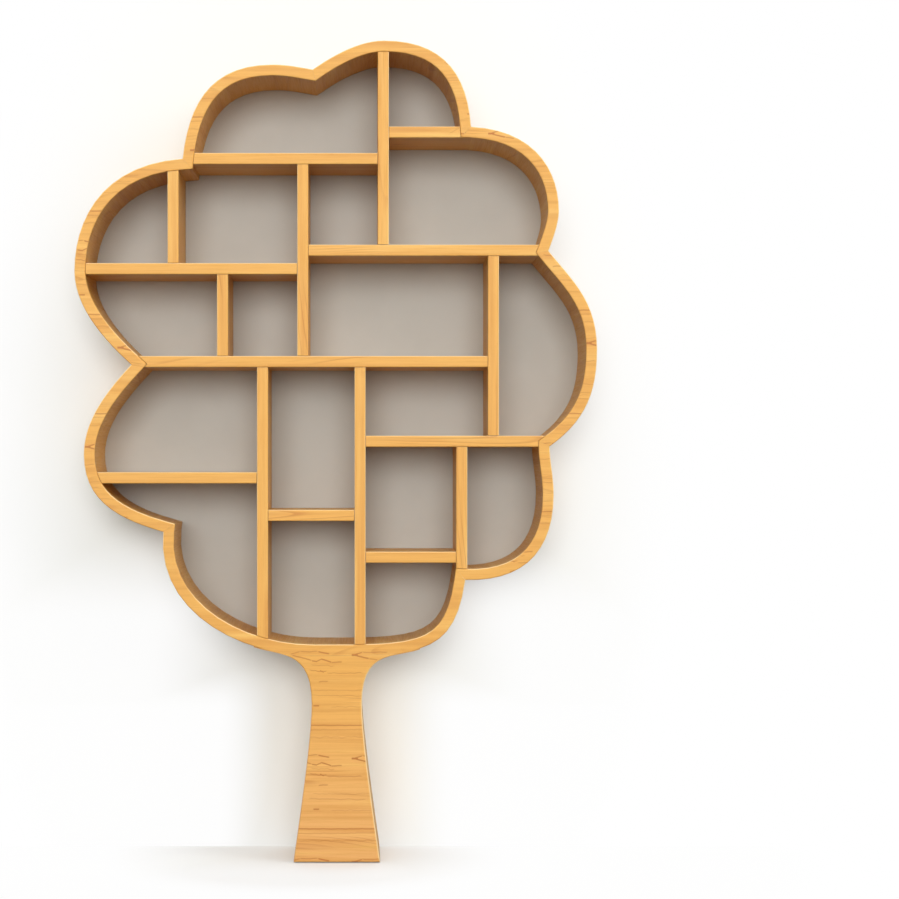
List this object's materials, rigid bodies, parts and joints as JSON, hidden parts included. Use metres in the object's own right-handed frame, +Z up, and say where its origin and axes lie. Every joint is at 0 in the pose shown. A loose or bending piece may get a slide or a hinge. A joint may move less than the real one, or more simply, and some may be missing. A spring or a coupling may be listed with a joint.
{
  "type": "tree shaped bookshelf",
  "caption": "Free-standing bookshelf shaped like a tree: a cloud-like crown of bent wood lobes with shelves, dividers and a grey back, on a slim flared trunk.",
  "frame": {"origin": "on the floor, under the middle of the crown's width and halfway through its depth", "axes": "+Z up, +X to the right as seen from the front, +Y back to the wall, so the front faces -Y"},
  "size_m": [1.413, 0.25, 2.222],
  "materials": {
    "veneer": "satin lacquered pine veneer",
    "plywood": "raw plywood",
    "back_paint": "matt warm grey paint on thin board",
    "steel": "zinc plated",
    "plastic": "matt"
  },
  "bodies": {
    "root": {"lobe_top_left": "veneer", "lobe_top": "veneer", "lobe_upper_right": "veneer", "lobe_right": "veneer", "lobe_lower_right": "veneer", "lobe_bottom": "veneer", "lobe_lower_left": "veneer", "lobe_left": "veneer", "mitre_tongue_1": "plywood", "mitre_tongue_2": "plywood", "mitre_tongue_3": "plywood", "mitre_tongue_4": "plywood", "mitre_tongue_5": "plywood", "mitre_tongue_6": "plywood", "mitre_tongue_7": "plywood", "mitre_tongue_8": "plywood", "shelf_top_left": "veneer", "shelf_top_right": "veneer", "shelf_upper_left": "veneer", "shelf_upper_right": "veneer", "shelf_middle": "veneer", "shelf_lower_right": "veneer", "shelf_lower_left": "veneer", "shelf_lower_centre": "veneer", "shelf_bottom_right": "veneer", "divider_top": "veneer", "divider_upper_left": "veneer", "divider_upper": "veneer", "divider_left": "veneer", "divider_right": "veneer", "divider_lower_left": "veneer", "divider_lower_centre": "veneer", "divider_lower_right": "veneer", "back_panel_upper": "back_paint", "back_panel_lower": "back_paint", "hanging_rail": "plywood", "trunk_front": "veneer", "trunk_back": "plywood", "trunk_side_left": "veneer", "trunk_side_right": "veneer", "trunk_saddle": "plywood", "trunk_foot_plate": "plywood", "trunk_rib_1": "plywood", "trunk_rib_2": "plywood", "trunk_rib_3": "plywood", "foot_glide_1": "plastic", "foot_glide_2": "plastic", "foot_glide_3": "plastic", "foot_glide_4": "plastic", "crown_screw_1": "steel", "crown_screw_2": "steel", "crown_screw_3": "steel", "crown_screw_4": "steel", "rail_screw_1": "steel", "rail_screw_2": "steel", "rail_screw_3": "steel", "rail_screw_4": "steel"}
  },
  "joints": []
}
